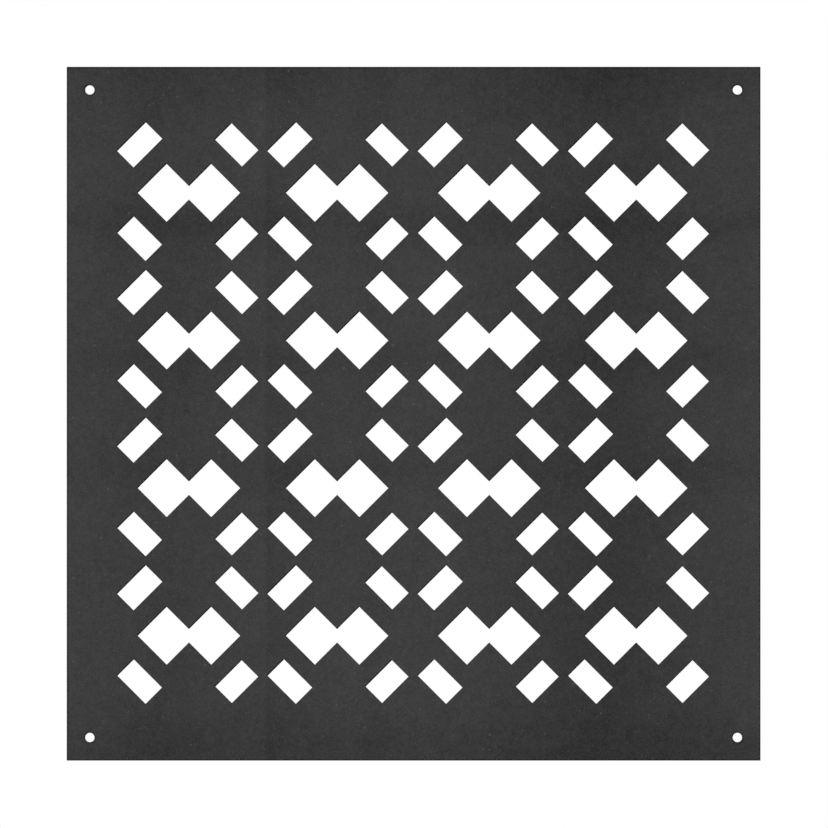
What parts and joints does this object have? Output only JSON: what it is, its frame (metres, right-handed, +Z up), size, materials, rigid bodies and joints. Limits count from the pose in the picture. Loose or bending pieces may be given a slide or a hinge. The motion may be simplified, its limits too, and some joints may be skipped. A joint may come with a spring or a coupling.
{
  "type": "fretwork room divider panel",
  "caption": "Square dark laminate-faced board cut through with slanted slots and paired diamonds, bored at its corners to hang in a screen or room divider.",
  "frame": {"origin": "the middle of the board", "axes": "+X to the right as the front is seen, +Y from the front face to the back face, +Z up"},
  "size_m": [0.6, 0.006, 0.6],
  "materials": {
    "laminate": "matt, dyed dark grey, with a faint cloudy fibre mottle",
    "fibreboard": "scorched dark brown where it was cut"
  },
  "bodies": {
    "root": {"core_board": "fibreboard", "laminate_front": "laminate", "laminate_back": "laminate"}
  },
  "joints": []
}
